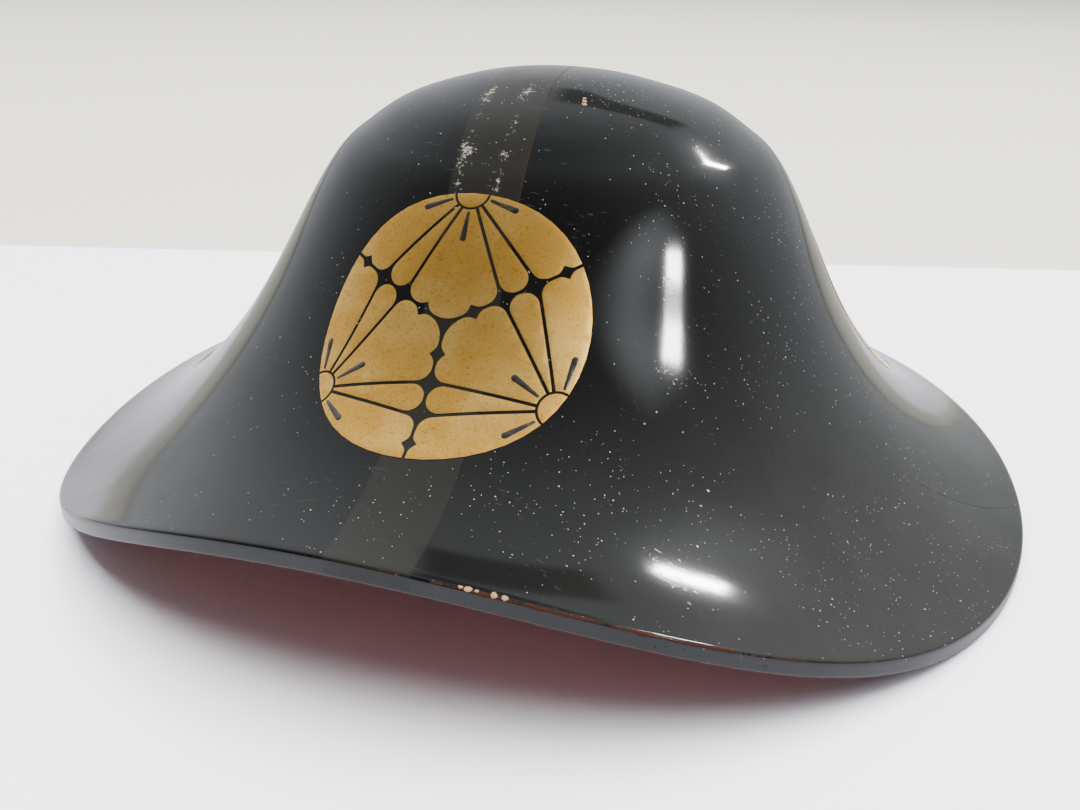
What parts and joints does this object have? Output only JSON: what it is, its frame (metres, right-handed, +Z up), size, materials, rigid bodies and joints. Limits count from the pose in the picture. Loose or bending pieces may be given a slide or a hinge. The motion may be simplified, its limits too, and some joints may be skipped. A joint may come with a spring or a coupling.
{
  "type": "jingasa helmet",
  "caption": "Bell-shaped black lacquered war hat with a rounded crown, a wide flared brim that arches up in front, a red lacquered hollow and round gilt flower crests.",
  "frame": {"origin": "on the surface the brim rests on, under the middle of the hat's length and width", "axes": "+Z up through the crown, -Y towards the arched front of the brim, +X towards the wearer's left"},
  "size_m": [0.36, 0.3938, 0.149],
  "materials": {
    "black_lacquer": "polished black lacquer over hardened rawhide, red lacquer on the inside, worn at the edge",
    "gilt": "worn satin gold leaf laid on lacquer"
  },
  "bodies": {
    "root": {"shell": "black_lacquer", "crest_front": "gilt", "crest_left_rear": "gilt", "crest_right_rear": "gilt"}
  },
  "joints": []
}
